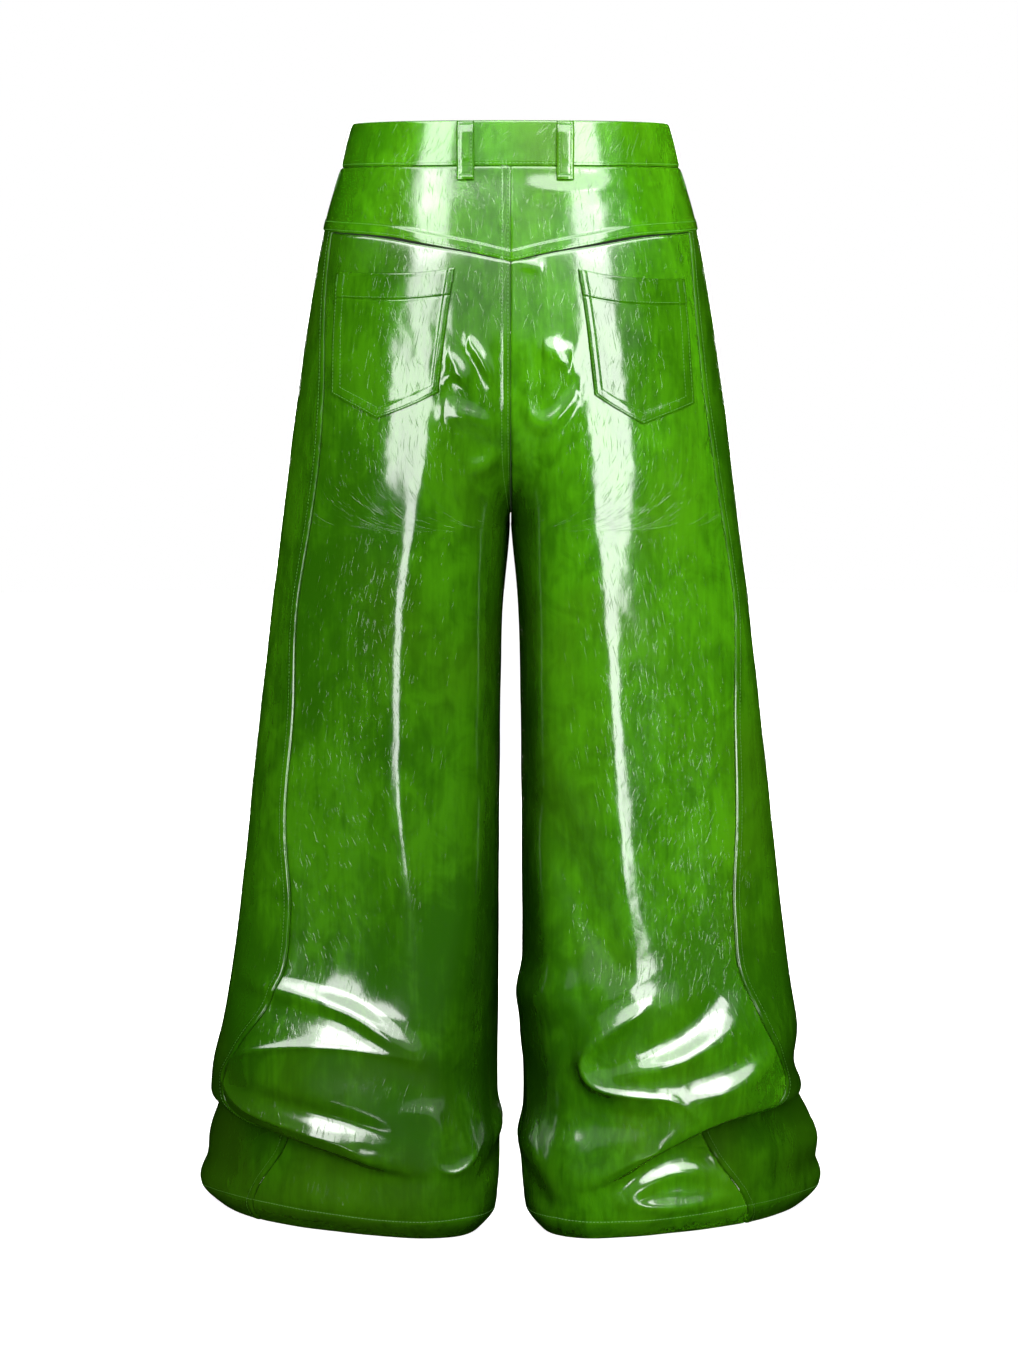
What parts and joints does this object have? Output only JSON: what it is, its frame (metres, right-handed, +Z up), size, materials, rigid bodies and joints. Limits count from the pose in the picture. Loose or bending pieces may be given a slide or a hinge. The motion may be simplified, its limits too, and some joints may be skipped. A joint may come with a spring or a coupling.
{
  "type": "leather trousers",
  "caption": "High-waisted wide-leg trousers in glossy green leather, hollow and open at waist and hems, hems pooling on the floor.",
  "frame": {"origin": "middle of the waist opening at the level of the waistband's top edge", "axes": "+Z up out of the waist, -Y towards the wearer's back, +X towards the wearer's right"},
  "size_m": [0.597, 0.2867, 1.0223],
  "materials": {
    "waistband": "glossy patent finish",
    "yoke_left": "glossy patent finish",
    "yoke_right": "glossy patent finish",
    "back_left": "glossy patent finish",
    "back_right": "glossy patent finish",
    "front_left": "glossy patent finish",
    "front_right": "glossy patent finish",
    "back_pocket_left": "glossy patent finish",
    "back_pocket_right": "glossy patent finish",
    "belt_loop_back_left": "glossy patent finish",
    "belt_loop_back_right": "glossy patent finish",
    "belt_loop_front_left": "glossy patent finish",
    "belt_loop_front_right": "glossy patent finish",
    "zip": "woven tape with a closed coil",
    "fly_shield": "unpolished inner side",
    "waist_button": "brushed metal",
    "zip_slider": "brushed metal"
  },
  "bodies": {
    "root": {"waistband": "waistband", "yoke_left": "yoke_left", "yoke_right": "yoke_right", "back_left": "back_left", "back_right": "back_right", "front_left": "front_left", "front_right": "front_right", "back_pocket_left": "back_pocket_left", "back_pocket_right": "back_pocket_right", "belt_loop_back_left": "belt_loop_back_left", "belt_loop_back_right": "belt_loop_back_right", "belt_loop_front_left": "belt_loop_front_left", "belt_loop_front_right": "belt_loop_front_right", "zip": "zip", "fly_shield": "fly_shield", "waist_button": "waist_button", "zip_slider": "zip_slider"}
  },
  "joints": []
}
